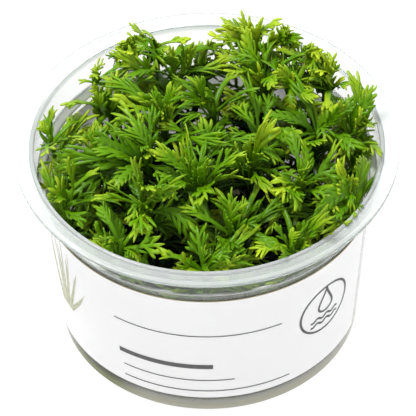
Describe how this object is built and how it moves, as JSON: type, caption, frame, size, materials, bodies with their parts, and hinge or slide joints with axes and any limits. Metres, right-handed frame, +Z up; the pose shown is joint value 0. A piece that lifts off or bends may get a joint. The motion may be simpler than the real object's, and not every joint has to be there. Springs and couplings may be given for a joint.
{
  "type": "aquarium plant tissue culture cup",
  "caption": "Clear round flanged cup with a wrap label, agar gel and leafy water plantlets growing up to and just above its rim.",
  "frame": {"origin": "middle of the cup's base, on the surface that it stands on", "axes": "+Z up through the mouth, -Y out of the front of the label, +X to the right seen from the front"},
  "size_m": [0.095, 0.095, 0.0644],
  "materials": {
    "clear_plastic": "clear injection-moulded polypropylene, glossy",
    "label_film": "white printed film, satin",
    "agar_gel": "cloudy set agar, wet",
    "leaf_green": "fresh moist leaves, satin"
  },
  "bodies": {
    "root": {"cup": "clear_plastic", "label": "label_film", "gel": "agar_gel", "plantlet_01": "leaf_green", "plantlet_02": "leaf_green", "plantlet_03": "leaf_green", "plantlet_04": "leaf_green", "plantlet_05": "leaf_green", "plantlet_06": "leaf_green", "plantlet_07": "leaf_green", "plantlet_08": "leaf_green", "plantlet_09": "leaf_green", "plantlet_10": "leaf_green", "plantlet_11": "leaf_green", "plantlet_12": "leaf_green", "plantlet_13": "leaf_green", "plantlet_14": "leaf_green", "plantlet_15": "leaf_green", "plantlet_16": "leaf_green", "plantlet_17": "leaf_green", "plantlet_18": "leaf_green", "plantlet_19": "leaf_green", "plantlet_20": "leaf_green", "plantlet_21": "leaf_green", "plantlet_22": "leaf_green", "plantlet_23": "leaf_green", "plantlet_24": "leaf_green", "plantlet_25": "leaf_green", "plantlet_26": "leaf_green"}
  },
  "joints": []
}
